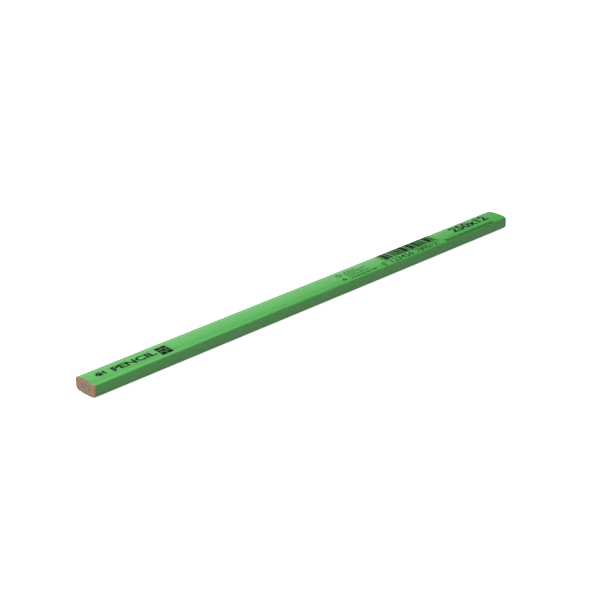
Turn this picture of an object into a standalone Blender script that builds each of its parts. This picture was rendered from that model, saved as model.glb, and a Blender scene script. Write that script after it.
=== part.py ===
"""Flat mason's pencil: two grooved wooden slats glued round a flat graphite lead, primed and lacquered.

Run it with blender --background --python part.py, or from Blender's text editor. Units are metres, with
+Z up. The pencil lies along X on one of its wide faces, with the origin on that face under the middle of
the pencil. The end at -X is the one that the imprint starts from.

Every piece has the same section all the way along, so each is an outline in the section plane, extruded
to the pencil's length. Outlines run anticlockwise and start at their right-hand side (+Y).
"""

import math

import bpy
from mathutils import Vector

MM = 0.001

# Overall sizes, over the lacquer
LENGTH = 250.0 * MM
WIDTH = 12.0 * MM
THICKNESS = 6.5 * MM

# Form of the section: a flat land along each wide face, a crowned shoulder on each side of it, and a
# narrow side that is nearly flat. A higher power is flatter for longer and turns a tighter corner.
LAND_WIDTH = 2.4 * MM
CROWN_POWER = 2.0
SIDE_POWER = 7.0
STEPS_PER_SHOULDER = 14

# Coats on the wood
LACQUER_FILM = 0.12 * MM
PRIMER_FILM = 0.06 * MM

# Lead
LEAD_WIDTH = 5.7 * MM
LEAD_THICKNESS = 2.0 * MM
LEAD_CORNER = 0.45 * MM
STEPS_PER_CORNER = 5

# Glue
GLUE_BETWEEN_SLATS = 0.08 * MM
GLUE_ROUND_LEAD = 0.08 * MM

# Gap between pieces that are bonded face to face, so that their solids stay apart
CLEARANCE = 0.02 * MM

# Turns a section drawn in X and Y, extruded along Z, so that it stands across the pencil's X axis
ALONG_THE_PENCIL = (math.radians(90.0), 0.0, math.radians(90.0))

# Name, colour, roughness and metallic value of each piece's material
MATERIALS = {
    "upper_slat": ("light_wood", (0.72, 0.49, 0.34), 0.75, 0.0),
    "lower_slat": ("light_wood", (0.72, 0.49, 0.34), 0.75, 0.0),
    "graphite_lead": ("graphite", (0.16, 0.16, 0.17), 0.45, 0.2),
    "glue_film": ("dried_glue", (0.62, 0.50, 0.36), 0.5, 0.0),
    "primer_coat": ("pale_primer", (0.80, 0.78, 0.70), 0.6, 0.0),
    "green_lacquer": ("green_lacquer", (0.13, 0.52, 0.13), 0.3, 0.0),
}


def clear_scene():
    """Removes whatever the file opened with."""
    for item in list(bpy.data.objects):
        bpy.data.objects.remove(item, do_unlink=True)


def casing_outline():
    """The pencil's outer section, over the lacquer."""
    land = LAND_WIDTH / 2
    shoulder = WIDTH / 2 - land
    quarter = []
    for step in range(STEPS_PER_SHOULDER + 1):
        turn = math.radians(90.0) * step / STEPS_PER_SHOULDER
        across = land + shoulder * max(math.cos(turn), 0.0) ** (2 / CROWN_POWER)
        up = THICKNESS / 2 * math.sin(turn) ** (2 / SIDE_POWER)
        quarter.append(Vector((across, up)))
    upper_left = [Vector((-point.x, point.y)) for point in reversed(quarter)]
    upper = quarter + upper_left
    lower = [Vector((point.x, -point.y)) for point in reversed(upper[1:-1])]
    return upper + lower


def rounded_box(width, height, corner):
    """A box with round corners, about the section's centre."""
    outline = [Vector((width / 2, 0.0))]
    centres = ((1, 1), (-1, 1), (-1, -1), (1, -1))
    for quadrant, (side, level) in enumerate(centres):
        centre = Vector((side * (width / 2 - corner), level * (height / 2 - corner)))
        for step in range(STEPS_PER_CORNER + 1):
            turn = math.radians(90.0) * (quadrant + step / STEPS_PER_CORNER)
            outline.append(centre + corner * Vector((math.cos(turn), math.sin(turn))))
    return outline


def inset(outline, distance):
    """An outline moved inwards along its own normals."""
    moved = []
    before_each = outline[-1:] + outline[:-1]
    after_each = outline[1:] + outline[:1]
    for before, here, after in zip(before_each, outline, after_each):
        arriving = (here - before).normalized()
        leaving = (after - here).normalized()
        inward = Vector((-arriving.y, arriving.x))
        mitre = (inward + Vector((-leaving.y, leaving.x))).normalized()
        moved.append(here + mitre * distance / mitre.dot(inward))
    return moved


def above(outline, level):
    """The stretch of an outline over a level above its centre, from its right crossing to its left."""
    stretch = []
    for here, after in zip(outline, outline[1:] + outline[:1]):
        if here.y > level:
            stretch.append(here)
        if (here.y > level) != (after.y > level):
            stretch.append(here.lerp(after, (level - here.y) / (after.y - here.y)))
    return stretch


def upside_down(outline):
    """An outline mirrored top to bottom, still running anticlockwise."""
    return [Vector((point.x, -point.y)) for point in reversed(outline)]


def lead_outline(margin):
    """The lead's section with a margin all round it."""
    return rounded_box(LEAD_WIDTH + 2 * margin, LEAD_THICKNESS + 2 * margin, LEAD_CORNER + margin)


def slat_outline(wood):
    """The upper slat: the wood above the glue line, less its half of the lead's groove."""
    joint = GLUE_BETWEEN_SLATS / 2 + CLEARANCE
    groove = lead_outline(GLUE_ROUND_LEAD + 2 * CLEARANCE)
    return above(wood, joint) + above(groove, joint)[::-1]


def glue_outline(wood):
    """The glue: a sleeve round the lead with a wing out to each side of the wood."""
    half_film = GLUE_BETWEEN_SLATS / 2
    wing_tip = wood[0].x
    sleeve = above(lead_outline(GLUE_ROUND_LEAD + CLEARANCE), half_film)
    upper = [Vector((wing_tip, half_film))] + sleeve + [Vector((-wing_tip, half_film))]
    return upper + [Vector((point.x, -point.y)) for point in reversed(upper)]


def material_of(name):
    """The material of a piece, made once for each finish."""
    finish, colour, roughness, metallic = MATERIALS[name]
    material = bpy.data.materials.get(finish)
    if material is None:
        material = bpy.data.materials.new(finish)
        material.use_nodes = True
        shader = material.node_tree.nodes["Principled BSDF"]
        shader.inputs["Base Color"].default_value = (*colour, 1.0)
        shader.inputs["Roughness"].default_value = roughness
        shader.inputs["Metallic"].default_value = metallic
        material.diffuse_color = (*colour, 1.0)
    return material


def extrude_section(name, outlines, collection):
    """One piece of the pencil. A second outline is a hole through it."""
    curve = bpy.data.curves.new(name, "CURVE")
    curve.dimensions = "2D"
    curve.fill_mode = "BOTH"
    curve.extrude = LENGTH / 2
    for outline in outlines:
        spline = curve.splines.new("POLY")
        spline.points.add(len(outline) - 1)
        for point, place in zip(spline.points, outline):
            point.co = (place.x, place.y, 0.0, 1.0)
        spline.use_cyclic_u = True
    curve.materials.append(material_of(name))
    piece = bpy.data.objects.new(name, curve)
    piece.location = (0.0, 0.0, THICKNESS / 2)
    piece.rotation_euler = ALONG_THE_PENCIL
    collection.objects.link(piece)
    return piece


def main():
    clear_scene()
    pencil = bpy.data.collections.new("flat_pencil")
    bpy.context.scene.collection.children.link(pencil)

    lacquer = casing_outline()
    primer = inset(lacquer, LACQUER_FILM + CLEARANCE)
    wood = inset(primer, PRIMER_FILM + CLEARANCE)
    slat = slat_outline(wood)

    extrude_section("green_lacquer", [lacquer, inset(lacquer, LACQUER_FILM)], pencil)
    extrude_section("primer_coat", [primer, inset(primer, PRIMER_FILM)], pencil)
    extrude_section("upper_slat", [slat], pencil)
    extrude_section("lower_slat", [upside_down(slat)], pencil)
    extrude_section("glue_film", [glue_outline(wood), lead_outline(CLEARANCE)], pencil)
    extrude_section("graphite_lead", [lead_outline(0.0)], pencil)


main()
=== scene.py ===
"""Finished look of a flat mason's pencil: wood, lead, glue, primer, lacquer and a hot-stamped imprint.

The pencil lies along X on one wide face, with its imprint on the other. Units are metres, so sizes are
written in millimetres times MM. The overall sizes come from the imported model, and the thickness of each
coat and joint is the same as there.
"""

import logging
import math
import random
from collections.abc import Callable, Iterable, Sequence
from dataclasses import dataclass, field
from enum import Enum

import bmesh
import bpy
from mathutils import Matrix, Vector


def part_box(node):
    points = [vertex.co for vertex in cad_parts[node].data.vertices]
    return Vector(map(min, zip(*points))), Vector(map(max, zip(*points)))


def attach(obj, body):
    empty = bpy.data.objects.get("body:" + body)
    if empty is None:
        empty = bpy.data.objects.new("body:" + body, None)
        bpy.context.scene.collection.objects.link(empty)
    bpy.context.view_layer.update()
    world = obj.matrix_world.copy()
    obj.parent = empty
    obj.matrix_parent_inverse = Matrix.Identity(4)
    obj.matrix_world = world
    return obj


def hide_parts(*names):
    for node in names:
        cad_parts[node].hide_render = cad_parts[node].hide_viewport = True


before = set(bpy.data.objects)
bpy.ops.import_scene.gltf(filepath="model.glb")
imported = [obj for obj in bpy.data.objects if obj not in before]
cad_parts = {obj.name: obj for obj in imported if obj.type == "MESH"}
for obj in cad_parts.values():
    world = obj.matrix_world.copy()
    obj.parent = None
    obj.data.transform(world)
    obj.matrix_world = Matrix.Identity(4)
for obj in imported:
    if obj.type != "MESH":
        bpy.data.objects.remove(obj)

LOG = logging.getLogger("flat_pencil")

MM = 0.001
BODY = "root"

# Anything nearer than this is in the same place
TOUCH = 0.0005 * MM

# Turns a ring drawn flat so that it stands across the pencil
ACROSS_THE_PENCIL = (math.radians(90.0), 0.0, math.radians(90.0))

# The turn of the saw's streaks across the ends
SAW_SLANT = (math.radians(28.0), 0.0, 0.0)

ALONG = Vector((1.0, 0.0, 0.0))
ACROSS = Vector((0.0, 1.0, 0.0))
UP = Vector((0.0, 0.0, 1.0))

WHITE = (1.0, 1.0, 1.0, 1.0)

Socket = bpy.types.NodeSocket


class Kind(Enum):
    """The parts of a mesh that can be selected."""

    VERTEX = "VERT"
    EDGE = "EDGE"
    FACE = "FACE"


class Slot(Enum):
    """The record's material slots."""

    WOOD = "wood"
    GRAPHITE = "graphite"
    GLUE = "glue"
    PRIMER = "primer"
    LACQUER = "green_lacquer"
    FOIL = "black_foil"


class End(Enum):
    """The pencil's two ends, by the side of the middle that they are on."""

    NEAR = -1
    FAR = 1


# ---------------------------------------------------------------------------------------------------
# Working in Blender
# ---------------------------------------------------------------------------------------------------


def linear(colour: str) -> tuple[float, float, float, float]:
    """Turns an sRGB hex colour to linear values.

    Args:
        colour: six hex digits, such as "45A846".

    Returns:
        Linear red, green and blue, and an alpha of 1.
    """
    values = [int(colour[start : start + 2], 16) / 255 for start in (0, 2, 4)]
    red, green, blue = (v / 12.92 if v <= 0.04045 else ((v + 0.055) / 1.055) ** 2.4 for v in values)
    return red, green, blue, 1.0


def deselect_all() -> None:
    """Goes back to object mode with nothing selected."""
    if bpy.context.mode != "OBJECT":
        bpy.ops.object.mode_set(mode="OBJECT")
    bpy.ops.object.select_all(action="DESELECT")


def pick(piece: bpy.types.Object) -> None:
    """Makes a piece the only one selected, and the active one.

    Args:
        piece: the piece.
    """
    deselect_all()
    piece.select_set(True)
    bpy.context.view_layer.objects.active = piece


def adopt(name: str) -> bpy.types.Object:
    """Names the primitive just added, and moves its place, turn and size into its mesh.

    Args:
        name: the piece's name.

    Returns:
        The piece, at the origin, in object mode.
    """
    piece = bpy.context.active_object
    piece.name = name
    piece.data.name = name
    bpy.ops.object.transform_apply(location=True, rotation=True, scale=True)
    return piece


def edit(piece: bpy.types.Object) -> None:
    """Opens a piece for editing, with all of it selected.

    Args:
        piece: the piece.
    """
    pick(piece)
    bpy.ops.object.mode_set(mode="EDIT")
    bpy.ops.mesh.select_all(action="SELECT")


def select(piece: bpy.types.Object, kind: Kind, wanted: Callable[..., bool]) -> int:
    """Selects the parts of a piece in edit mode that pass a test.

    Args:
        piece: the piece being edited.
        kind: whether vertices, edges or faces are selected.
        wanted: takes a part and says if it is selected.

    Returns:
        How many parts were selected.
    """
    bpy.ops.mesh.select_mode(type=kind.value)
    bpy.ops.mesh.select_all(action="DESELECT")
    mesh = bmesh.from_edit_mesh(piece.data)
    parts = {Kind.VERTEX: mesh.verts, Kind.EDGE: mesh.edges, Kind.FACE: mesh.faces}[kind]
    chosen = [part for part in parts if wanted(part)]
    for part in chosen:
        part.select_set(True)
    mesh.select_flush_mode()
    bmesh.update_edit_mesh(piece.data)
    return len(chosen)


def slice_up(piece: bpy.types.Object, places: Iterable[Vector], normal: Vector) -> None:
    """Cuts a piece in edit mode along parallel planes, so that it has edges there.

    Args:
        piece: the piece being edited.
        places: a point on each plane.
        normal: the direction that the planes face.
    """
    for place in places:
        bpy.ops.mesh.select_all(action="SELECT")
        bpy.ops.mesh.bisect(plane_co=place, plane_no=normal, threshold=TOUCH)
    bmesh.update_edit_mesh(piece.data)


def slice_into_grid(
    piece: bpy.types.Object, middle: float, width: float, height: float, spacing: float
) -> None:
    """Cuts a piece in edit mode into a grid of edges across both of its ends.

    Args:
        piece: the piece being edited.
        middle: the height of the grid's centre.
        width: the grid's width.
        height: its height.
        spacing: how far apart its lines are.
    """
    across = int(width / spacing / 2)
    up = int(height / spacing / 2)
    columns = [Vector((0.0, n * spacing, middle)) for n in range(-across, across + 1)]
    rows = [Vector((0.0, 0.0, middle + n * spacing)) for n in range(-up, up + 1)]
    slice_up(piece, columns, ACROSS)
    slice_up(piece, rows, UP)


def tidy_mesh() -> None:
    """Merges doubles and turns the faces outwards, in edit mode, then leaves it."""
    bpy.ops.mesh.select_mode(type=Kind.VERTEX.value)
    bpy.ops.mesh.select_all(action="SELECT")
    bpy.ops.mesh.remove_doubles(threshold=2 * TOUCH)
    bpy.ops.mesh.normals_make_consistent(inside=False)
    bpy.ops.object.mode_set(mode="OBJECT")


def join(pieces: Sequence[bpy.types.Object]) -> bpy.types.Object:
    """Joins pieces into one.

    Args:
        pieces: the pieces, of which the first takes in the rest.

    Returns:
        The first piece.
    """
    pick(pieces[0])
    for piece in pieces:
        piece.select_set(True)
    bpy.ops.object.join()
    return pieces[0]


def apply_modifier(piece: bpy.types.Object, kind: str, **settings: object) -> None:
    """Adds a modifier to a piece and applies it.

    Args:
        piece: the piece.
        kind: Blender's name for the kind of modifier.
        **settings: the modifier's own settings.
    """
    pick(piece)
    modifier = piece.modifiers.new(kind.lower(), kind)
    for name, value in settings.items():
        setattr(modifier, name, value)
    bpy.ops.object.modifier_apply(modifier=modifier.name)


def add_node(
    tree: bpy.types.NodeTree,
    kind: str,
    inputs: dict[str, object] | None = None,
    stops: Sequence[tuple[float, str]] = (),
    **settings: object,
) -> bpy.types.Node:
    """Adds a node, sets it up and links it.

    Args:
        tree: the tree that it goes into.
        kind: Blender's name for the kind of node.
        inputs: a value, or a socket to link, for each input by its identifier.
        stops: for a ramp, each stop's place from 0 to 1 and its colour.
        **settings: the node's own settings.

    Returns:
        The node.
    """
    node = tree.nodes.new(kind)
    for name, value in settings.items():
        setattr(node, name, value)
    for place, colour in stops[2:]:
        node.color_ramp.elements.new(place).color = linear(colour)
    for element, (place, colour) in zip(node.color_ramp.elements if stops else (), sorted(stops)):
        element.position = place
        element.color = linear(colour)
    sockets = {socket.identifier: socket for socket in node.inputs}
    for name, value in (inputs or {}).items():
        if isinstance(value, bpy.types.NodeSocket):
            tree.links.new(value, sockets[name])
        else:
            sockets[name].default_value = value
    return node


def mottle(
    tree: bpy.types.NodeTree,
    place: Socket,
    scale: float,
    detail: float,
    stops: Sequence[tuple[float, str]],
) -> tuple[Socket, Socket]:
    """Makes soft, uneven patches of two colours.

    Args:
        tree: the material's tree.
        place: the coordinates, in millimetres.
        scale: how many patches there are to a millimetre.
        detail: how broken up they are.
        stops: each colour, with the strength from 0 to 1 that it starts at.

    Returns:
        The patches' strength and their colour.
    """
    noise = add_node(tree, "ShaderNodeTexNoise", {"Vector": place, "Scale": scale, "Detail": detail})
    ramp = add_node(tree, "ShaderNodeValToRGB", {"Fac": noise.outputs["Fac"]}, stops=stops)
    return noise.outputs["Fac"], ramp.outputs["Color"]


def measure_outwards(
    tree: bpy.types.NodeTree, place: Socket, half_width: float, half_height: float
) -> tuple[Socket, Socket]:
    """Measures how far from the pencil's middle a point is, as a share of a piece's half sizes.

    Args:
        tree: the material's tree.
        place: the coordinates, in millimetres from the middle.
        half_width: half the piece's width.
        half_height: half its height.

    Returns:
        The share across and the share up.
    """
    outwards = add_node(
        tree,
        "ShaderNodeVectorMath",
        {"Vector": place, "Vector_001": (1.0, half_width, half_height)},
        operation="DIVIDE",
    )
    shares = add_node(
        tree, "ShaderNodeVectorMath", {"Vector": outwards.outputs["Vector"]}, operation="ABSOLUTE"
    )
    split = add_node(tree, "ShaderNodeSeparateXYZ", {"Vector": shares.outputs["Vector"]})
    return split.outputs["Y"], split.outputs["Z"]


def paint(
    tree: bpy.types.NodeTree,
    shader: bpy.types.Node,
    base: str | Socket,
    *layers: tuple[Socket, str],
) -> None:
    """Colours a shader in layers, each over those under it.

    Args:
        tree: the material's tree.
        shader: its shader.
        base: the bottom colour, or the socket that gives it.
        *layers: how strongly each layer shows, from 0 to 1, and its colour.
    """
    under = linear(base) if isinstance(base, str) else base
    for strength, colour in layers:
        mixed = add_node(
            tree,
            "ShaderNodeMix",
            {"Factor_Float": strength, "A_Color": under, "B_Color": linear(colour)},
            data_type="RGBA",
        )
        under = mixed.outputs[2]
    tree.links.new(under, shader.inputs["Base Color"])


def emboss(tree: bpy.types.NodeTree, shader: bpy.types.Node, *layers: tuple[Socket, float]) -> None:
    """Gives a shader its relief in layers, each over those under it.

    Args:
        tree: the material's tree.
        shader: its shader.
        *layers: each layer's height, from 0 to 1, and its depth in metres.
    """
    under = {}
    for height, depth in layers:
        relief = add_node(
            tree, "ShaderNodeBump", {"Height": height, "Strength": 1.0, "Distance": depth, **under}
        )
        under = {"Normal": relief.outputs["Normal"]}
    tree.links.new(under["Normal"], shader.inputs["Normal"])


# ---------------------------------------------------------------------------------------------------
# Finishes
# ---------------------------------------------------------------------------------------------------


@dataclass(frozen=True)
class Finish:
    """What every finish shares: a shader, and coordinates along the pencil in millimetres."""

    name: str
    slot: Slot | None
    roughness: float
    ior: float
    middle_height: float = 0.0

    def begin(self) -> tuple[bpy.types.Material, bpy.types.NodeTree, bpy.types.Node, Socket]:
        """Starts the material.

        Returns:
            The material, its tree, its shader, and the place in millimetres from the pencil's middle.
        """
        material = bpy.data.materials.new(self.name)
        material.use_nodes = True
        tree = material.node_tree
        tree.nodes.clear()
        shader = add_node(
            tree, "ShaderNodeBsdfPrincipled", {"Roughness": self.roughness, "IOR": self.ior}
        )
        add_node(tree, "ShaderNodeOutputMaterial", {"Surface": shader.outputs["BSDF"]})
        place = add_node(tree, "ShaderNodeTexCoord").outputs["Object"]
        centred = add_node(
            tree,
            "ShaderNodeVectorMath",
            {"Vector": place, "Vector_001": (0.0, 0.0, self.middle_height)},
            operation="SUBTRACT",
        )
        scaled = add_node(
            tree,
            "ShaderNodeVectorMath",
            {"Vector": centred.outputs["Vector"], "Scale": 1 / MM},
            operation="SCALE",
        )
        return material, tree, shader, scaled.outputs["Vector"]

    def dress(self, piece: bpy.types.Object, node: str | None = None) -> None:
        """Puts the finish on a piece that rides on the pencil.

        Args:
            piece: the piece.
            node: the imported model's node that it stands for, if any.
        """
        material = bpy.data.materials.get(self.name) or self.make()
        piece.data.materials.clear()
        piece.data.materials.append(material)
        pick(piece)
        bpy.ops.object.shade_smooth_by_angle(angle=math.radians(30.0))
        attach(piece, BODY)
        if node:
            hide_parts(node)
        LOG.info("%s: %d faces, %s", piece.name, len(piece.data.polygons), self.name)

    def make(self) -> bpy.types.Material:
        """Builds the material. Each finish has its own."""
        raise NotImplementedError


@dataclass(frozen=True)
class PencilLacquer(Finish):
    """Nitrocellulose pencil lacquer, drawn on in thin coats through a rubber ring.

    It gives the eye a clean mid green with a soft sheen. The coats are thin, so the grain of the wood
    shows through as faint lines along the pencil, and the colour drifts a little along its length.
    """

    name: str = "green_pencil_lacquer"
    slot: Slot = Slot.LACQUER
    roughness: float = 0.32
    ior: float = 1.5
    colour: str = "3A883B"
    thin_colour: str = "418D41"
    worn_colour: str = "A9BC93"
    half_length: float = 125.0
    rubbed_reach: float = 0.45
    drift: float = 30.0
    grain: float = 0.45
    grain_stretch: float = 45.0
    grain_relief: float = 0.006 * MM
    peel: float = 1.3
    peel_relief: float = 0.010 * MM

    def make(self) -> bpy.types.Material:
        """Builds the material.

        Returns:
            The material.
        """
        material, tree, shader, place = self.begin()
        drift = add_node(
            tree,
            "ShaderNodeTexNoise",
            {"Vector": place, "Scale": 1 / self.drift, "Detail": 2.0, "Roughness": 0.5},
        )
        # Rubbed rims: the saw leaves the last half millimetre thin and scuffed
        split = add_node(tree, "ShaderNodeSeparateXYZ", {"Vector": place})
        along = add_node(
            tree, "ShaderNodeMath", {"Value": split.outputs["X"]}, operation="ABSOLUTE"
        )
        near_rim = add_node(
            tree,
            "ShaderNodeMapRange",
            {
                "Value": along.outputs["Value"],
                "From Min": self.half_length - self.rubbed_reach,
                "From Max": self.half_length,
            },
            interpolation_type="SMOOTHSTEP",
        )
        scuff = add_node(tree, "ShaderNodeTexNoise", {"Vector": place, "Scale": 2.2, "Detail": 3.0})
        scuffed = add_node(
            tree,
            "ShaderNodeMapRange",
            {"Value": scuff.outputs["Fac"], "From Min": 0.5, "From Max": 0.62, "To Max": 0.6},
        )
        worn = add_node(
            tree,
            "ShaderNodeMath",
            {"Value": near_rim.outputs["Result"], "Value_001": scuffed.outputs["Result"]},
            operation="MULTIPLY",
        )
        drifting = (drift.outputs["Fac"], self.thin_colour)
        paint(tree, shader, self.colour, drifting, (worn.outputs["Value"], self.worn_colour))
        # Grain lines under half a millimetre apart, drawn out along the pencil
        along_grain = add_node(
            tree,
            "ShaderNodeMapping",
            {"Vector": place, "Scale": (1 / self.grain_stretch, 1.0, 1.0)},
        )
        grain = add_node(
            tree,
            "ShaderNodeTexNoise",
            {"Vector": along_grain.outputs["Vector"], "Scale": 1 / self.grain, "Detail": 2.0},
        )
        peel = add_node(
            tree, "ShaderNodeTexNoise", {"Vector": place, "Scale": 1 / self.peel, "Detail": 1.0}
        )
        sheen = add_node(
            tree,
            "ShaderNodeMapRange",
            {
                "Value": peel.outputs["Fac"],
                "From Min": 0.3,
                "From Max": 0.7,
                "To Min": self.roughness - 0.04,
                "To Max": self.roughness + 0.05,
            },
        )
        tree.links.new(sheen.outputs["Result"], shader.inputs["Roughness"])
        lines = (grain.outputs["Fac"], self.grain_relief)
        emboss(tree, shader, lines, (peel.outputs["Fac"], self.peel_relief))
        return material


@dataclass(frozen=True)
class SawnSlat(Finish):
    """Pencil slat of soft, even, diffuse-porous wood, sawn square across the grain.

    It gives the eye a matt, pinkish straw colour with faint curved year rings, fine pores, short
    streaks from the saw, and a colour that turns browner towards the edge all round.
    """

    name: str = "sawn_basswood"
    slot: Slot = Slot.WOOD
    roughness: float = 0.82
    ior: float = 1.45
    early_colour: str = "C09676"
    late_colour: str = "A27A59"
    pink_colour: str = "BC8D7A"
    pore_colour: str = "7A553D"
    rim_colour: str = "835D41"
    pith_across: float = -9.0
    pith_above: float = 14.0
    ring_spacing: float = 1.3
    pore_spacing: float = 0.26
    pore_stretch: float = 80.0
    pore_relief: float = 0.05 * MM
    saw_relief: float = 0.09 * MM
    half_width: float = 5.78
    half_height: float = 3.03

    def make(self) -> bpy.types.Material:
        """Builds the material.

        Returns:
            The material.
        """
        material, tree, shader, place = self.begin()
        from_pith = add_node(
            tree,
            "ShaderNodeMapping",
            {"Vector": place, "Location": (0.0, -self.pith_across, -self.pith_above)},
        )
        # A ring wave repeats every 2 pi / 20 of its own units
        rings = add_node(
            tree,
            "ShaderNodeTexWave",
            {
                "Vector": from_pith.outputs["Vector"],
                "Scale": math.tau / 20 / self.ring_spacing,
                "Distortion": 1.6,
                "Detail": 2.0,
                "Detail Scale": 0.5,
            },
            wave_type="RINGS",
            rings_direction="X",
            wave_profile="SAW",
        )
        blush = add_node(
            tree, "ShaderNodeTexNoise", {"Vector": place, "Scale": 0.32, "Detail": 2.0}
        )
        blushed = add_node(
            tree,
            "ShaderNodeMapRange",
            {"Value": blush.outputs["Fac"], "From Min": 0.42, "From Max": 0.6, "To Max": 0.75},
        )
        # Pores 0.08 mm apart are too fine to show, so they are drawn at three times that
        along_grain = add_node(
            tree, "ShaderNodeMapping", {"Vector": place, "Scale": (1 / self.pore_stretch, 1.0, 1.0)}
        )
        pores = add_node(
            tree,
            "ShaderNodeTexVoronoi",
            {"Vector": along_grain.outputs["Vector"], "Scale": 1 / self.pore_spacing},
        )
        pitted = add_node(
            tree,
            "ShaderNodeMapRange",
            {
                "Value": pores.outputs["Distance"],
                "From Min": 0.12,
                "From Max": 0.32,
                "To Min": 0.55,
                "To Max": 0.0,
            },
        )
        # The colour turns browner towards the edge of the end, all round
        across, up = measure_outwards(tree, place, self.half_width, self.half_height)
        furthest = add_node(
            tree,
            "ShaderNodeMath",
            {"Value": across, "Value_001": up, "Value_002": 0.08},
            operation="SMOOTH_MAX",
        )
        browner_towards_edge = add_node(
            tree,
            "ShaderNodeMapRange",
            {"Value": furthest.outputs["Value"], "From Min": 0.84, "From Max": 1.0, "To Max": 0.85},
            interpolation_type="SMOOTHSTEP",
        )
        paint(
            tree,
            shader,
            self.early_colour,
            (rings.outputs["Fac"], self.late_colour),
            (blushed.outputs["Result"], self.pink_colour),
            (pitted.outputs["Result"], self.pore_colour),
            (browner_towards_edge.outputs["Result"], self.rim_colour),
        )
        # Saw streaks about 0.4 mm apart, slanting across the end
        slanted = add_node(
            tree,
            "ShaderNodeMapping",
            {"Vector": place, "Rotation": SAW_SLANT, "Scale": (1.0, 0.18, 2.5)},
        )
        streaks = add_node(
            tree, "ShaderNodeTexNoise", {"Vector": slanted.outputs["Vector"], "Scale": 1.0}
        )
        fibres = (pores.outputs["Distance"], self.pore_relief)
        emboss(tree, shader, fibres, (streaks.outputs["Fac"], self.saw_relief))
        return material


@dataclass(frozen=True)
class FiredGraphite(Finish):
    """Graphite and clay, extruded, fired hard and soaked in wax, then sawn through with the wood.

    It gives the eye a mid grey with a dull, slightly silvery sheen, dragged streaks from the saw, a
    scatter of brighter flakes, and a painted gap shadow that darkens its edge all round, by the glue.
    """

    name: str = "fired_graphite"
    slot: Slot = Slot.GRAPHITE
    roughness: float = 0.42
    ior: float = 1.5
    metallic: float = 0.3
    colour: str = "918C86"
    dark_colour: str = "64605B"
    flake_colour: str = "BDBBB8"
    flake_spacing: float = 0.3
    saw_relief: float = 0.05 * MM
    half_width: float = 2.85
    half_height: float = 1.0

    def make(self) -> bpy.types.Material:
        """Builds the material.

        Returns:
            The material.
        """
        material, tree, shader, place = self.begin()
        shader.inputs["Metallic"].default_value = self.metallic
        dragged = add_node(
            tree,
            "ShaderNodeMapping",
            {"Vector": place, "Rotation": SAW_SLANT, "Scale": (1.0, 0.5, 3.0)},
        )
        stops = ((0.35, self.dark_colour), (0.6, self.colour))
        streaks, body = mottle(tree, dragged.outputs["Vector"], 1.6, 3.0, stops)
        flakes = add_node(
            tree, "ShaderNodeTexVoronoi", {"Vector": place, "Scale": 1 / self.flake_spacing}
        )
        bright = add_node(tree, "ShaderNodeSeparateXYZ", {"Vector": flakes.outputs["Color"]})
        flaked = add_node(
            tree,
            "ShaderNodeMapRange",
            {"Value": bright.outputs["X"], "From Min": 0.78, "From Max": 0.95, "To Max": 0.7},
        )
        # Painted shade: the lead darkens towards its edge all round, standing in for the shadow in the
        # gap by the glue
        across, up = measure_outwards(tree, place, self.half_width, self.half_height)
        furthest = add_node(
            tree, "ShaderNodeMath", {"Value": across, "Value_001": up}, operation="MAXIMUM"
        )
        rim = add_node(
            tree,
            "ShaderNodeMapRange",
            {"Value": furthest.outputs["Value"], "From Min": 0.72, "From Max": 1.0, "To Max": 0.7},
            interpolation_type="SMOOTHSTEP",
        )
        speckled = (flaked.outputs["Result"], self.flake_colour)
        paint(tree, shader, body, speckled, (rim.outputs["Result"], self.dark_colour))
        emboss(tree, shader, (streaks, self.saw_relief))
        return material


@dataclass(frozen=True)
class DriedGlue(Finish):
    """White wood glue, pressed out to a film between the slats and dried.

    It gives the eye a thin, tan, slightly glossy line with paler starved spots.
    """

    name: str = "dried_wood_glue"
    slot: Slot = Slot.GLUE
    roughness: float = 0.4
    ior: float = 1.47
    colour: str = "A97F55"
    starved_colour: str = "C9A27A"
    lump_relief: float = 0.02 * MM

    def make(self) -> bpy.types.Material:
        """Builds the material.

        Returns:
            The material.
        """
        material, tree, shader, place = self.begin()
        stops = ((0.4, self.colour), (0.65, self.starved_colour))
        starved, body = mottle(tree, place, 1.4, 3.0, stops)
        paint(tree, shader, body)
        emboss(tree, shader, (starved, self.lump_relief))
        return material


@dataclass(frozen=True)
class FillerPrimer(Finish):
    """Chalk-filled primer, wiped on to close the grain before the lacquer.

    It gives the eye a dead matt, off-white line round the wood, stained by it here and there.
    """

    name: str = "chalk_primer"
    slot: Slot = Slot.PRIMER
    roughness: float = 0.9
    ior: float = 1.5
    colour: str = "E4DDC9"
    stained_colour: str = "C9B594"
    chalk_spacing: float = 0.15
    chalk_relief: float = 0.02 * MM

    def make(self) -> bpy.types.Material:
        """Builds the material.

        Returns:
            The material.
        """
        material, tree, shader, place = self.begin()
        stops = ((0.4, self.colour), (0.7, self.stained_colour))
        _, body = mottle(tree, place, 0.9, 4.0, stops)
        paint(tree, shader, body)
        # Chalk grains of 0.02 mm are too fine to show, so they are drawn at 0.15 mm
        chalk = add_node(
            tree,
            "ShaderNodeTexNoise",
            {"Vector": place, "Scale": 1 / self.chalk_spacing, "Detail": 2.0},
        )
        emboss(tree, shader, (chalk.outputs["Fac"], self.chalk_relief))
        return material


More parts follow.
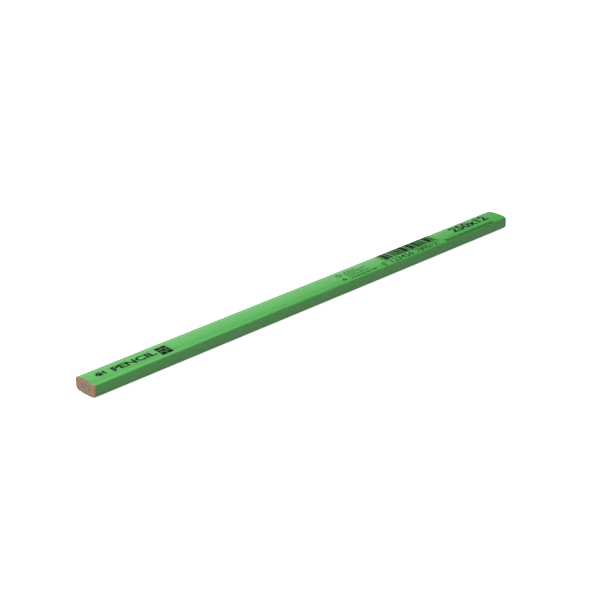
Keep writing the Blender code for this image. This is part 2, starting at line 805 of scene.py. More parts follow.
@dataclass(frozen=True)
class StampedFoil(Finish):
    """Black pigment foil, hot-stamped into the lacquer with a metal die.

    It gives the eye a deep, matt black beside the lacquer's sheen, with pinholes and thin patches where
    the die pressed lightly and the green shows through. The IOR is a matched value that keeps it dark. It
    is lower than that of any real film, so it isn't a property to rely on.
    """

    name: str = "black_stamped_foil"
    slot: Slot = Slot.FOIL
    roughness: float = 0.7
    ior: float = 1.13
    colour: str = "070907"
    thin_colour: str = "1F3A1F"
    pinhole_colour: str = "2F7A30"
    press_relief: float = 0.01 * MM

    def make(self) -> bpy.types.Material:
        """Builds the material.

        Returns:
            The material.
        """
        material, tree, shader, place = self.begin()
        stops = ((0.45, self.colour), (0.75, self.thin_colour))
        pressure, body = mottle(tree, place, 0.7, 3.0, stops)
        specks = add_node(
            tree, "ShaderNodeTexNoise", {"Vector": place, "Scale": 5.5, "Detail": 2.0}
        )
        pinholes = add_node(
            tree,
            "ShaderNodeMapRange",
            {"Value": specks.outputs["Fac"], "From Min": 0.66, "From Max": 0.72},
        )
        paint(tree, shader, body, (pinholes.outputs["Result"], self.pinhole_colour))
        emboss(tree, shader, (pressure, self.press_relief))
        return material


@dataclass(frozen=True)
class StudioPaper(Finish):
    """Seamless background paper, calendered and uncoated.

    It gives the eye a plain, even, matt white.
    """

    name: str = "seamless_white_paper"
    slot: Slot | None = None
    roughness: float = 0.95
    ior: float = 1.45
    colour: str = "BCBCBC"
    fibre_colour: str = "B9B9B9"
    glow: float = 1.0

    def make(self) -> bpy.types.Material:
        """Builds the material.

        Returns:
            The material.
        """
        material, tree, shader, place = self.begin()
        stops = ((0.3, self.fibre_colour), (0.7, self.colour))
        _, body = mottle(tree, place, 0.5, 3.0, stops)
        paint(tree, shader, body)
        # The paper is burnt out to white for the camera, without throwing more light on the pencil
        rays = add_node(tree, "ShaderNodeLightPath")
        shader.inputs["Emission Color"].default_value = WHITE
        burnt_out = add_node(
            tree,
            "ShaderNodeMath",
            {"Value": rays.outputs["Is Camera Ray"], "Value_001": self.glow},
            operation="MULTIPLY",
        )
        tree.links.new(burnt_out.outputs["Value"], shader.inputs["Emission Strength"])
        return material


# ---------------------------------------------------------------------------------------------------
# The pencil
# ---------------------------------------------------------------------------------------------------


@dataclass(frozen=True)
class Section:
    """The pencil's section: flat lands above and below, crowned shoulders and nearly flat sides."""

    length: float
    width: float
    thickness: float
    land_width: float = 2.4 * MM
    crown_power: float = 2.0
    side_power: float = 7.0
    steps: int = 48

    @classmethod
    def from_frame(cls) -> "Section":
        """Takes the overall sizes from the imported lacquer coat.

        Returns:
            The section.
        """
        low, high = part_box(Slot.LACQUER.value)
        size = high - low
        return cls(length=size.x, width=size.y, thickness=size.z)

    @property
    def middle(self) -> float:
        """The height of the section's centre."""
        return self.thickness / 2

    def point(self, turn: float) -> tuple[float, float]:
        """A point on the upper right quarter of the section.

        Args:
            turn: from 0 at the middle of the side to a quarter turn at the land, in radians.

        Returns:
            How far it is to the side of the section's centre and above it.
        """
        land = self.land_width / 2
        across = land + (self.width / 2 - land) * math.cos(turn) ** (2 / self.crown_power)
        up = self.middle * math.sin(turn) ** (2 / self.side_power)
        return across, up

    def ring(self, name: str) -> bpy.types.Object:
        """Draws the section at the near end: a circle, scaled four points at a time onto the outline.

        Args:
            name: the piece's name.

        Returns:
            The closed outline, one ring of edges, being edited.
        """
        radius = self.width
        centre = (-self.length / 2, 0.0, self.middle)
        deselect_all()
        bpy.ops.mesh.primitive_circle_add(
            vertices=4 * self.steps,
            radius=radius,
            fill_type="NOTHING",
            location=centre,
            rotation=ACROSS_THE_PENCIL,
        )
        piece = adopt(name)
        edit(piece)
        for step in range(self.steps + 1):
            turn = math.radians(90.0) * step / self.steps
            start = (radius * math.cos(turn), radius * math.sin(turn))
            across, up = self.point(turn)
            on_the_land = step == self.steps
            on_the_side = step == 0

            def is_here(vertex: bmesh.types.BMVert) -> bool:
                """Says if a vertex is one of the four at this step.

                Args:
                    vertex: the vertex.

                Returns:
                    Whether it is.
                """
                aside = abs(abs(vertex.co.y) - start[0])
                above = abs(abs(vertex.co.z - self.middle) - start[1])
                return max(aside, above) < TOUCH

            select(piece, Kind.VERTEX, is_here)
            scale_across = 1.0 if on_the_land else across / start[0]
            scale_up = 1.0 if on_the_side else up / start[1]
            bpy.ops.transform.resize(value=(1.0, scale_across, scale_up), center_override=centre)
        return piece

    def plate(self, name: str, margin: float) -> bpy.types.Object:
        """Draws a thin plate at the near end, smaller than the section by a margin all round.

        Args:
            name: the piece's name.
            margin: how far inside the outline its edge is.

        Returns:
            One flat face, being edited.
        """
        piece = self.ring(name)
        bpy.ops.mesh.select_all(action="SELECT")
        bpy.ops.mesh.edge_face_add()
        if margin > 0.0:
            bpy.ops.mesh.inset(thickness=margin, use_even_offset=True)
            keep_count = 4 * self.steps
            select(piece, Kind.FACE, lambda face: len(face.verts) < keep_count)
            bpy.ops.mesh.delete(type="FACE")
        return piece

    def draw_out(self, piece: bpy.types.Object, stations: Sequence[float]) -> None:
        """Extrudes a flat shape along the pencil, with a ring of edges at each station.

        Args:
            piece: the shape, being edited, at the near end.
            stations: distances from the near end, of which the last is the far end.
        """
        bpy.ops.mesh.select_mode(type=Kind.FACE.value)
        bpy.ops.mesh.select_all(action="SELECT")
        reached = 0.0
        for station in stations:
            bpy.ops.mesh.extrude_region_move(
                TRANSFORM_OT_translate={"value": (station - reached, 0.0, 0.0)}
            )
            reached = station
        tidy_mesh()

    def stations(self, close: Sequence[float], spacing: float) -> list[float]:
        """Distances from the near end that lie close together at both ends.

        Args:
            close: distances from each end.
            spacing: about how far apart they are between those.

        Returns:
            The distances in order, of which the last is the length.
        """
        first, last = close[-1], self.length - close[-1]
        count = round((last - first) / spacing)
        between = [first + (last - first) * step / count for step in range(1, count)]
        mirrored = [self.length - distance for distance in reversed(close)]
        return [*close, *between, *mirrored, self.length]


def weigh_end(piece: bpy.types.Object, end: End, section: Section, reach: float) -> str:
    """Makes a vertex group that fades from one end of the pencil inwards.

    Args:
        piece: the piece.
        end: which end.
        section: the pencil's section.
        reach: how far in from the end the weight falls to nothing.

    Returns:
        The group's name.
    """
    group = piece.vertex_groups.new(name=f"{end.name.lower()}_end")
    face = end.value * section.length / 2
    for vertex in piece.data.vertices:
        weight = 1 - abs(vertex.co.x - face) / reach
        if weight > 0.0:
            group.add([vertex.index], weight, "REPLACE")
    return group.name


def roughen_ends(
    piece: bpy.types.Object,
    section: Section,
    depth: float,
    grain: float,
    reach: float,
    contrast: float = 1.0,
    intensity: float = 1.0,
) -> None:
    """Pushes parts of both ends inwards, as a saw leaves them.

    Args:
        piece: the piece.
        section: the pencil's section.
        depth: the deepest mark.
        grain: about how far apart the marks are.
        reach: how far in from the end the marks fade out.
        contrast: how sharply marked parts stand off from the rest.
        intensity: how much is marked.
    """
    marks = bpy.data.textures.new(f"{piece.name}_saw_marks", "CLOUDS")
    marks.noise_scale = grain
    marks.noise_depth = 2
    marks.use_clamp = True
    marks.contrast = contrast
    marks.intensity = intensity
    for end in End:
        apply_modifier(
            piece,
            "DISPLACE",
            texture=marks,
            texture_coords="LOCAL",
            direction="X",
            strength=-end.value * depth,
            mid_level=0.0,
            vertex_group=weigh_end(piece, end, section, reach),
        )


@dataclass
class Bar:
    """A straight bar through the middle of the pencil, with rounded long edges."""

    length: float
    width: float
    height: float
    corner: float
    corner_steps: int = 6

    def build(self, name: str, centre_height: float) -> bpy.types.Object:
        """Builds the bar.

        Args:
            name: its name.
            centre_height: the height of its centre.

        Returns:
            The bar.
        """
        deselect_all()
        bpy.ops.mesh.primitive_cube_add(
            size=1.0,
            location=(0.0, 0.0, centre_height),
            scale=(self.length, self.width, self.height),
        )
        piece = adopt(name)
        edit(piece)
        half = self.length / 2
        select(piece, Kind.EDGE, lambda edge: edge.calc_length() > half)
        bpy.ops.mesh.bevel(
            offset=self.corner, offset_type="OFFSET", segments=self.corner_steps, affect="EDGES"
        )
        tidy_mesh()
        return piece


def carve(piece: bpy.types.Object, tool: bpy.types.Object, operation: str = "DIFFERENCE") -> None:
    """Cuts a tool out of a piece, or joins it on, and removes the tool.

    Args:
        piece: the piece.
        tool: the shape that it is cut with or joined to.
        operation: Blender's name for what is done.
    """
    apply_modifier(piece, "BOOLEAN", object=tool, operation=operation, solver="EXACT")
    bpy.data.objects.remove(tool)


@dataclass
class Core:
    """The lead: a flat bar of fired graphite, sawn flush with the wood."""

    section: Section
    width: float = 5.7 * MM
    height: float = 2.0 * MM
    corner: float = 0.45 * MM
    end_corner: float = 0.06 * MM
    relief_spacing: float = 0.2 * MM
    saw_depth: float = 0.05 * MM
    saw_grain: float = 0.5 * MM
    saw_reach: float = 0.2 * MM

    def bar(self, margin: float, extra_length: float = 0.0) -> Bar:
        """The lead's shape with a margin all round it."""
        return Bar(
            length=self.section.length + extra_length,
            width=self.width + 2 * margin,
            height=self.height + 2 * margin,
            corner=self.corner + margin,
        )

    def build(self) -> None:
        """Builds and dresses the lead."""
        middle = self.section.middle
        lead = self.bar(0.0).build("lead_core", middle)
        edit(lead)
        half = self.section.length / 2
        select(
            lead, Kind.EDGE, lambda edge: all(abs(abs(v.co.x) - half) < TOUCH for v in edge.verts)
        )
        bpy.ops.mesh.bevel(offset=self.end_corner, segments=2, affect="EDGES")
        slice_into_grid(lead, middle, self.width, self.height, self.relief_spacing)
        tidy_mesh()
        roughen_ends(lead, self.section, self.saw_depth, self.saw_grain, self.saw_reach)
        half_sizes = {"half_width": self.width / 2 / MM, "half_height": self.height / 2 / MM}
        FiredGraphite(middle_height=middle, **half_sizes).dress(lead, "graphite_lead")


@dataclass
class Casing:
    """The wood round the lead: two grooved slats and the glue between them."""

    section: Section
    core: Core
    wood_depth: float = 0.22 * MM
    glue_between: float = 0.08 * MM
    glue_round_lead: float = 0.08 * MM
    clearance: float = 0.02 * MM
    relief_spacing: float = 0.25 * MM
    saw_depth: float = 0.07 * MM
    saw_grain: float = 0.45 * MM
    saw_reach: float = 0.2 * MM
    cutter_overrun: float = 4 * MM

    def build_slat(self, side: int, name: str) -> bpy.types.Object:
        """Builds one slat: the wood on one side of the glue, grooved for the lead.

        Args:
            side: 1 for the upper slat, -1 for the lower.
            name: its name.

        Returns:
            The slat.
        """
        section = self.section
        middle = section.middle
        piece = section.plate(name, self.wood_depth)
        bpy.ops.mesh.select_all(action="SELECT")
        joint = middle + side * (self.glue_between / 2 + self.clearance)
        bpy.ops.mesh.bisect(
            plane_co=(0.0, 0.0, joint),
            plane_no=(0.0, 0.0, float(side)),
            clear_inner=True,
            threshold=TOUCH,
        )
        section.draw_out(piece, [section.length])
        groove = self.core.bar(
            self.glue_round_lead + 2 * self.clearance, extra_length=self.cutter_overrun
        )
        carve(piece, groove.build("groove_cutter", middle))
        edit(piece)
        slice_into_grid(piece, middle, section.width, section.thickness, self.relief_spacing)
        tidy_mesh()
        roughen_ends(piece, section, self.saw_depth, self.saw_grain, self.saw_reach)
        return piece

    def build_glue(self) -> bpy.types.Object:
        """Builds the glue: a film between the slats that opens into a sleeve round the lead.

        Returns:
            The glue.
        """
        section = self.section
        film = Bar(
            length=section.length,
            width=section.width - 2 * self.wood_depth,
            height=self.glue_between,
            corner=self.glue_between / 4,
            corner_steps=2,
        ).build("glue_seam", section.middle)
        sleeve = self.core.bar(self.glue_round_lead + self.clearance)
        carve(film, sleeve.build("sleeve", section.middle), "UNION")
        hole = self.core.bar(self.clearance, extra_length=self.cutter_overrun)
        carve(film, hole.build("lead_cutter", section.middle))
        edit(film)
        tidy_mesh()
        return film

    def build(self) -> None:
        """Builds and dresses the slats and the glue."""
        middle = self.section.middle
        half_sizes = {
            "half_width": (self.section.width / 2 - self.wood_depth) / MM,
            "half_height": (middle - self.wood_depth) / MM,
        }
        upper = self.build_slat(1, "upper_casing")
        SawnSlat(middle_height=middle, **half_sizes).dress(upper, "upper_slat")
        lower = self.build_slat(-1, "lower_casing")
        SawnSlat(
            name="sawn_basswood_straight_grained",
            early_colour="BF9472",
            late_colour="A67C56",
            pith_across=16.0,
            pith_above=-21.0,
            ring_spacing=1.6,
            middle_height=middle,
            **half_sizes,
        ).dress(lower, "lower_slat")
        DriedGlue(middle_height=middle).dress(self.build_glue(), "glue_film")


@dataclass
class Coats:
    """The two coats on the wood, each a closed sleeve over the whole length."""

    section: Section
    lacquer_film: float = 0.12 * MM
    primer_film: float = 0.06 * MM
    clearance: float = 0.02 * MM
    rim_corner: float = 0.04 * MM
    chip_depth: float = 0.28 * MM
    chip_grain: float = 0.8 * MM
    chipped_share: float = 0.4
    close: tuple[float, ...] = (0.05 * MM, 0.12 * MM, 0.22 * MM, 0.36 * MM, 0.6 * MM, 2.0 * MM)
    spacing: float = 6.0 * MM

    def build_sleeve(self, name: str, margin: float, film: float) -> bpy.types.Object:
        """Builds one coat.

        Args:
            name: its name.
            margin: how far inside the section its outer face is.
            film: its thickness.

        Returns:
            The coat.
        """
        piece = self.section.plate(name, margin)
        bpy.ops.mesh.select_mode(type=Kind.FACE.value)
        bpy.ops.mesh.select_all(action="SELECT")
        bpy.ops.mesh.inset(thickness=film, use_even_offset=True)
        bpy.ops.mesh.delete(type="FACE")
        self.section.draw_out(piece, self.section.stations(self.close, self.spacing))
        return piece

    def soften_rims(self, piece: bpy.types.Object) -> None:
        """Rounds a coat's outer edge at both ends.

        Args:
            piece: the coat.
        """
        half = self.section.length / 2
        centre = Vector((0.0, 0.0, self.section.middle))

        def is_outer_rim(edge: bmesh.types.BMEdge) -> bool:
            """Says if an edge lies on the outside at an end.

            Args:
                edge: the edge.

            Returns:
                Whether it does.
            """
            if any(abs(abs(vertex.co.x) - half) > TOUCH for vertex in edge.verts):
                return False
            middle = (edge.verts[0].co + edge.verts[1].co) / 2
            outwards = (middle - centre) * Vector((0.0, 1.0, 1.0))
            sides = [face for face in edge.link_faces if abs(face.normal.x) < 0.5]
            return len(sides) == 1 and sides[0].normal.dot(outwards) > 0.0

        edit(piece)
        select(piece, Kind.EDGE, is_outer_rim)
        bpy.ops.mesh.bevel(offset=self.rim_corner, segments=2, affect="EDGES")
        tidy_mesh()

    def build(self) -> bpy.types.Object:
        """Builds and dresses the coats.

        Returns:
            The lacquer coat, which the imprint is stamped on.
        """
        middle = self.section.middle
        primer_depth = self.lacquer_film + self.clearance
        primer = self.build_sleeve("primer_layer", primer_depth, self.primer_film)
        roughen_ends(
            primer,
            self.section,
            depth=0.6 * self.chip_depth,
            grain=self.chip_grain,
            reach=0.4 * MM,
            contrast=3.0,
            intensity=self.chipped_share,
        )
        FillerPrimer(middle_height=middle).dress(primer, "primer_coat")
        lacquer = self.build_sleeve("lacquer_coat", 0.0, self.lacquer_film)
        self.soften_rims(lacquer)
        roughen_ends(
            lacquer,
            self.section,
            depth=self.chip_depth,
            grain=self.chip_grain,
            reach=0.5 * MM,
            contrast=3.5,
            intensity=self.chipped_share,
        )
        PencilLacquer(
            middle_height=middle, half_length=self.section.length / 2 / MM
        ).dress(lacquer, "green_lacquer")
        return lacquer


@dataclass(frozen=True)
class Patch:
    """A rectangle on the wide face, from the pencil's middle, before it is pressed onto the crown."""

    left: float
    right: float
    bottom: float
    top: float

    @property
    def size(self) -> Vector:
        """Its width and height."""
        return Vector((self.right - self.left, self.top - self.bottom))

    @property
    def centre(self) -> Vector:
        """Its centre."""
        return Vector((self.left + self.right, self.bottom + self.top)) / 2


@dataclass(frozen=True)
class Lettering:
    """Words stamped within a patch. A heavier die has its outline moved out by more of its height."""

    words: str
    patch: Patch
    heaviness: float = 0.0


@dataclass
class Imprint:
    """The black marks along the upper face, each cut flat, laid on the crown and made solid."""

    section: Section
    lacquer: bpy.types.Object
    above_crown: float = 4.0 * MM
    sunk: float = 0.012 * MM
    foil: float = 0.02 * MM
    wrap_spacing: float = 0.3 * MM
    grade: Lettering = Lettering("4H", Patch(-120.3 * MM, -115.5 * MM, -1.9 * MM, 1.4 * MM), 0.06)
    word: Lettering = Lettering("PENCIL", Patch(-112.5 * MM, -90.9 * MM, -2.7 * MM, 1.1 * MM), 0.04)
    length_mark: Lettering = Lettering(
        "250x12", Patch(91.2 * MM, 116.6 * MM, -2.2 * MM, 3.0 * MM), 0.03
    )
    digits: tuple[Lettering, ...] = (
        Lettering("0", Patch(39.2 * MM, 41.1 * MM, -5.2 * MM, -2.3 * MM), 0.01),
        Lettering("123456", Patch(44.8 * MM, 59.2 * MM, -5.2 * MM, -2.3 * MM), 0.01),
        Lettering("789012", Patch(61.8 * MM, 76.2 * MM, -5.2 * MM, -2.3 * MM), 0.01),
    )
    brick_wall: Patch = Patch(-89.9 * MM, -84.2 * MM, -4.5 * MM, 1.7 * MM)
    brick_gap: float = 0.2 * MM
    brick_corner: float = 0.12 * MM
    bars_patch: Patch = Patch(42.8 * MM, 78.8 * MM, -1.7 * MM, 5.2 * MM)
    bar_modules: int = 95
    guard_drop: float = 1.3 * MM
    bar_seed: int = 5
    scale_patch: Patch = Patch(81.6 * MM, 115.6 * MM, -5.5 * MM, -3.9 * MM)
    tick_width: float = 0.55 * MM
    base_line: float = 0.12 * MM
    tick_shares: tuple[tuple[int, float], ...] = ((10, 1.0), (5, 0.9), (1, 0.75))
    icon_places: tuple[tuple[float, float], ...] = ((15.3 * MM, 0.7 * MM), (14.8 * MM, -3.5 * MM))
    icon_radius: float = 1.4 * MM
    icon_line: float = 0.5 * MM
    care_lines: tuple[Patch, ...] = (
        Patch(18.8 * MM, 27.0 * MM, 1.3 * MM, 1.85 * MM),
        Patch(18.6 * MM, 32.0 * MM, -0.1 * MM, 0.45 * MM),
        Patch(18.4 * MM, 29.2 * MM, -1.5 * MM, -0.95 * MM),
        Patch(18.2 * MM, 30.8 * MM, -2.9 * MM, -2.35 * MM),
        Patch(18.0 * MM, 35.4 * MM, -4.7 * MM, -4.15 * MM),
    )
    # The dashes' lengths and gaps are in millimetres
    dash_lengths: tuple[float, float] = (0.9, 2.8)
    dash_gaps: tuple[float, float] = (0.35, 0.6)
    shortest_dash: float = 0.8
    dash_corner: float = 0.08 * MM
    dash_seed: int = 11
    finish: StampedFoil = field(default_factory=StampedFoil)

    @property
    def level(self) -> float:
        """The height that the marks are cut at."""
        return self.section.thickness + self.above_crown

    def add_plate(self, patch: Patch) -> None:
        """Adds a flat rectangle, as a new object or, in edit mode, to the mesh being edited.

        Args:
            patch: the rectangle.
        """
        centre = (*patch.centre, self.level)
        bpy.ops.mesh.primitive_plane_add(size=1.0, location=centre)
        bpy.ops.transform.resize(value=(*patch.size, 1.0), center_override=centre)

    def start(self, name: str, patch: Patch) -> bpy.types.Object:
        """Starts a mark with one flat rectangle.

        Args:
            name: the mark's name.
            patch: the rectangle.

        Returns:
            The mark, being edited.
        """
        deselect_all()
        self.add_plate(patch)
        piece = adopt(name)
        edit(piece)
        return piece

    def press(self, piece: bpy.types.Object) -> None:
        """Lays a flat mark on the crown, gives it its thickness and dresses it.

        Args:
            piece: the flat mark.
        """
        edit(piece)
        count = int(self.section.width / self.wrap_spacing / 2)
        rows = [Vector((0.0, n * self.wrap_spacing, 0.0)) for n in range(-count, count + 1)]
        slice_up(piece, rows, ACROSS)
        bpy.ops.mesh.select_all(action="SELECT")
        bpy.ops.mesh.remove_doubles(threshold=2 * TOUCH)
        bpy.ops.mesh.normals_make_consistent(inside=False)
        mesh = bmesh.from_edit_mesh(piece.data)
        if sum(face.normal.z * face.calc_area() for face in mesh.faces) < 0.0:
            bpy.ops.mesh.flip_normals()
        bpy.ops.object.mode_set(mode="OBJECT")
        apply_modifier(
            piece,
            "SHRINKWRAP",
            target=self.lacquer,
            wrap_method="PROJECT",
            use_project_z=True,
            use_negative_direction=True,
            use_positive_direction=False,
            offset=-self.sunk,
        )
        apply_modifier(piece, "SOLIDIFY", thickness=self.foil, offset=1.0)
        self.finish.dress(piece)

    def letter(self, lettering: Lettering, name: str) -> bpy.types.Object:
        """Cuts words from foil, in a plain face, to fill their patch.

        Args:
            lettering: the words and their patch.
            name: the mark's name.

        Returns:
            The flat mark.
        """
        deselect_all()
        bpy.ops.object.text_add()
        text = bpy.context.active_object
        text.data.body = lettering.words
        text.data.resolution_u = 4
        text.data.offset = lettering.heaviness
        bpy.ops.object.convert(target="MESH")
        mark = bpy.context.active_object
        corners = [Vector(corner) for corner in mark.bound_box]
        low = Vector(min(corner[axis] for corner in corners) for axis in range(3))
        high = Vector(max(corner[axis] for corner in corners) for axis in range(3))
        size = lettering.patch.size
        scale = Vector((size.x / (high.x - low.x), size.y / (high.y - low.y), 1.0))
        mark.scale = scale
        mark.location = (
            lettering.patch.left - low.x * scale.x,
            lettering.patch.bottom - low.y * scale.y,
            self.level,
        )
        return adopt(name)

    def build_letters(self) -> None:
        """Stamps the hardness grade, the word and the length."""
        marks = {
            "foil_grade_mark": self.grade,
            "foil_word_mark": self.word,
            "foil_length_mark": self.length_mark,
        }
        for name, lettering in marks.items():
            self.press(self.letter(lettering, name))

    def build_digits(self) -> None:
        """Stamps the row of digits under the bars."""
        groups = [self.letter(lettering, "foil_bar_digits") for lettering in self.digits]
        self.press(join(groups))

    def stamp_plates(self, name: str, patches: Sequence[Patch], corner: float, steps: int) -> None:
        """Stamps a mark made of separate rectangles with round corners.

        Args:
            name: the mark's name.
            patches: the rectangles.
            corner: how far in from each corner its rounding starts.
            steps: how many straight pieces make the rounding.
        """
        mark = self.start(name, patches[0])
        for patch in patches[1:]:
            self.add_plate(patch)
        select(mark, Kind.VERTEX, lambda vertex: True)
        bpy.ops.mesh.bevel(offset=corner, segments=steps, affect="VERTICES")
        self.press(mark)

    def build_brick_icon(self) -> None:
        """Stamps three courses of brickwork in running bond, each brick with round corners."""
        wall = self.brick_wall
        gap = self.brick_gap
        course = (wall.size.y - 2 * gap) / 3
        brick = (wall.size.x - gap) / 2
        half = (wall.size.x - brick - 2 * gap) / 2
        whole_course = [(0.0, brick), (brick + gap, brick)]
        bonded_course = [(0.0, half), (half + gap, brick), (half + brick + 2 * gap, half)]
        bricks = []
        for row in range(3):
            bottom = wall.bottom + row * (course + gap)
            for start, width in bonded_course if row % 2 else whole_course:
                left = wall.left + start
                bricks.append(Patch(left, left + width, bottom, bottom + course))
        self.stamp_plates("foil_brick_icon", bricks, self.brick_corner, steps=3)

    def build_care_icons(self) -> None:
        """Stamps a ring and a triangle, each cut out to a line."""
        icons = []
        for (across, up), corners in zip(self.icon_places, (32, 3)):
            deselect_all()
            bpy.ops.mesh.primitive_circle_add(
                vertices=corners,
                radius=self.icon_radius,
                fill_type="NGON",
                location=(across, up, self.level),
            )
            icon = adopt("foil_care_icons")
            edit(icon)
            bpy.ops.mesh.select_mode(type=Kind.FACE.value)
            bpy.ops.mesh.select_all(action="SELECT")
            bpy.ops.mesh.inset(thickness=self.icon_line, use_even_offset=True)
            bpy.ops.mesh.delete(type="FACE")
            bpy.ops.object.mode_set(mode="OBJECT")
            icons.append(icon)
        self.press(join(icons))

    def build_care_lines(self) -> None:
        """Stamps lines of very small print, as unreadable dashes the length of words."""
        draw = random.Random(self.dash_seed)
        dashes = []
        for line in self.care_lines:
            start = line.left
            while start < line.right - self.shortest_dash * MM:
                stop = min(start + draw.uniform(*self.dash_lengths) * MM, line.right)
                dashes.append(Patch(start, stop, line.bottom, line.top))
                start = stop + draw.uniform(*self.dash_gaps) * MM
        self.stamp_plates("foil_care_lines", dashes, self.dash_corner, steps=2)

    def build_bars(self) -> None:
        """Stamps a block of upright bars that stand for a code but hold none."""
        draw = random.Random(self.bar_seed)
        patch = self.bars_patch
        module = patch.size.x / self.bar_modules
        middle = self.bar_modules // 2
        guards = {0, 2, middle - 1, middle + 1, self.bar_modules - 3, self.bar_modules - 1}
        dark = set(guards)
        for start, stop in ((4, middle - 2), (middle + 3, self.bar_modules - 4)):
            place = start
            while place < stop:
                width = draw.choice((2, 3, 4, 5, 7))
                dark.update(range(place, min(place + width, stop)))
                place += width + draw.choice((1, 1, 1, 1, 2))
        plate = Patch(patch.left, patch.right, patch.bottom - self.guard_drop, patch.top)
        bars = self.start("foil_bars", plate)
        turns = [n for n in range(1, self.bar_modules) if (n in dark) != (n - 1 in dark)]
        edges = [Vector((patch.left + n * module, 0.0, 0.0)) for n in turns]
        slice_up(bars, edges, ALONG)
        slice_up(bars, [patch.bottom * ACROSS], ACROSS)

        def is_bare(face: bmesh.types.BMFace) -> bool:
            """Says if a face lies between the bars.

            Args:
                face: the face.

            Returns:
                Whether it does, and so is cut away.
            """
            centre = face.calc_center_median()
            here = int((centre.x - patch.left) / module)
            return here not in (guards if centre.y < patch.bottom else dark)

        select(bars, Kind.FACE, is_bare)
        bpy.ops.mesh.delete(type="FACE")
        self.press(bars)

    def build_scale(self) -> None:
        """Stamps a short scale of millimetre ticks on a base line."""
        patch = self.scale_patch
        tick, line = self.tick_width, self.base_line
        count = round(patch.size.x / MM)
        pitch = (patch.size.x - tick) / count
        scale = self.start("foil_scale_ticks", patch)
        edges = []
        for number in range(count + 1):
            place = patch.left + number * pitch
            edges += [Vector((place, 0.0, 0.0)), Vector((place + tick, 0.0, 0.0))]
        heights = {step: share * patch.size.y for step, share in self.tick_shares}
        levels = [patch.bottom + line] + [patch.bottom + height for height in heights.values()]
        slice_up(scale, edges, ALONG)
        slice_up(scale, [Vector((0.0, level, 0.0)) for level in levels], ACROSS)

        def is_bare(face: bmesh.types.BMFace) -> bool:
            """Says if a face is outside the ticks and the base line.

            Args:
                face: the face.

            Returns:
                Whether it is, and so is cut away.
            """
            centre = face.calc_center_median()
            above = centre.y - patch.bottom
            along = (centre.x - patch.left) / pitch
            number = int(along + 1e-6)
            on_tick = (along - number) * pitch < tick
            height = next(height for step, height in heights.items() if number % step == 0)
            return above > line and not (on_tick and above < height)

        select(scale, Kind.FACE, is_bare)
        bpy.ops.mesh.delete(type="FACE")
        self.press(scale)

    def build(self) -> None:
        """Builds and dresses every mark, from the near end to the far end."""
        self.build_letters()
        self.build_brick_icon()
        self.build_care_icons()
        self.build_care_lines()
        self.build_bars()
        self.build_digits()
        self.build_scale()


# ---------------------------------------------------------------------------------------------------
# The studio
# ---------------------------------------------------------------------------------------------------


@dataclass(frozen=True)
class Softbox:
    """A rectangular light: where it hangs, what it faces, its size and its power in watts."""

    name: str
    place: tuple[float, float, float]
    target: tuple[float, float, float]
    size: tuple[float, float]
    power: float


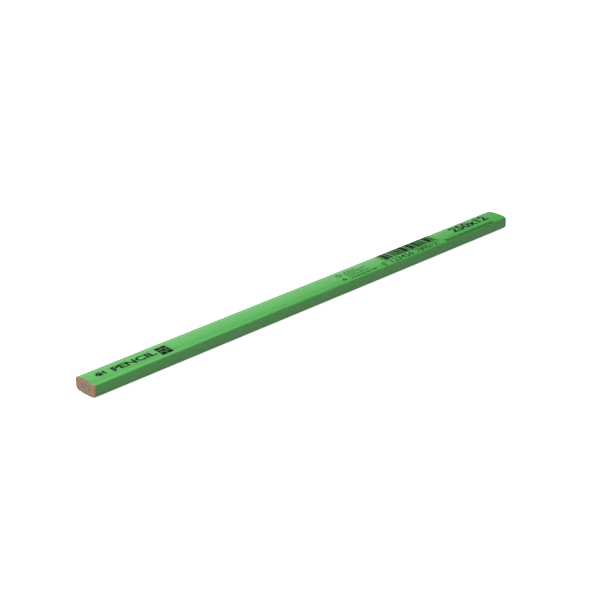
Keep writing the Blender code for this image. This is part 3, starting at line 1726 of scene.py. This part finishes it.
@dataclass
class Studio:
    """White paper under large softboxes, and the camera."""

    section: Section
    floor_size: float = 14.0
    azimuth: float = -45.34
    elevation: float = 23.79
    distance: float = 687.6 * MM
    lens: float = 95.1
    sensor: float = 36.0
    shift: tuple[float, float] = (-0.0253, -0.0111)
    sky_strength: float = 0.08
    softboxes: tuple[Softbox, ...] = (
        Softbox("overhead_softbox", (-0.1, -0.02, 1.3), (-0.1, -0.02, 0.0), (2.2, 1.4), 18.0),
        Softbox("key_softbox", (-0.22, 0.06, 0.65), (-0.2, 0.0, 0.0), (0.6, 0.5), 6.2),
        Softbox("back_softbox", (0.35, 1.5, 0.42), (0.0, 0.0, 0.0), (2.4, 0.85), 6.6),
    )

    def build_floor(self) -> None:
        """Lays the paper flat under the pencil."""
        deselect_all()
        bpy.ops.mesh.primitive_plane_add(size=self.floor_size, location=(0.0, 0.0, -TOUCH))
        floor = adopt("paper_floor")
        edit(floor)
        bpy.ops.mesh.subdivide(number_cuts=24)
        tidy_mesh()
        floor.data.materials.append(StudioPaper().make())

    def build_lights(self) -> None:
        """Hangs the softboxes and sets the dim room light."""
        for box in self.softboxes:
            deselect_all()
            bpy.ops.object.light_add(type="AREA", location=box.place)
            light = bpy.context.active_object
            light.name = box.name
            light.data.shape = "RECTANGLE"
            light.data.size, light.data.size_y = box.size
            light.data.energy = box.power
            facing = Vector(box.target) - Vector(box.place)
            light.rotation_euler = facing.to_track_quat("-Z", "Y").to_euler()
        world = bpy.data.worlds.new("white_room")
        bpy.context.scene.world = world
        world.use_nodes = True
        tree = world.node_tree
        tree.nodes.clear()
        # The room lights the pencil dimly and looks as white as the paper where the paper ends
        room = add_node(
            tree, "ShaderNodeBackground", {"Color": WHITE, "Strength": self.sky_strength}
        )
        wall = add_node(tree, "ShaderNodeBackground", {"Color": WHITE, "Strength": 1.0})
        rays = add_node(tree, "ShaderNodeLightPath")
        seen = add_node(
            tree,
            "ShaderNodeMixShader",
            {
                "Fac": rays.outputs["Is Camera Ray"],
                "Shader": room.outputs["Background"],
                "Shader_001": wall.outputs["Background"],
            },
        )
        add_node(tree, "ShaderNodeOutputWorld", {"Surface": seen.outputs["Shader"]})

    def build_camera(self) -> None:
        """Sets up the camera, looking at the pencil's middle from in front of its near end."""
        azimuth, elevation = math.radians(self.azimuth), math.radians(self.elevation)
        back = Vector(
            (
                math.sin(azimuth) * math.cos(elevation),
                -math.cos(azimuth) * math.cos(elevation),
                math.sin(elevation),
            )
        )
        middle = Vector((0.0, 0.0, self.section.middle))
        deselect_all()
        bpy.ops.object.camera_add(location=middle + back * self.distance)
        camera = bpy.context.active_object
        camera.name = "studio_camera"
        camera.rotation_euler = (-back).to_track_quat("-Z", "Y").to_euler()
        camera.data.sensor_width = self.sensor
        camera.data.lens = self.lens
        camera.data.shift_x, camera.data.shift_y = self.shift
        camera.data.clip_start = 0.01
        camera.data.clip_end = 50.0
        bpy.context.scene.camera = camera

    def build(self) -> None:
        """Builds the studio."""
        self.build_floor()
        self.build_lights()
        self.build_camera()
        view = bpy.context.scene.view_settings
        view.view_transform = "Standard"
        view.look = "None"


def main() -> None:
    """Builds the pencil from the inside out, then the studio."""
    logging.basicConfig(level=logging.INFO, format="%(name)s %(message)s")
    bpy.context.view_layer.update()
    section = Section.from_frame()
    core = Core(section)
    core.build()
    Casing(section, core).build()
    lacquer = Coats(section).build()
    Imprint(section, lacquer).build()
    Studio(section).build()


if __name__ == "__main__":
    main()
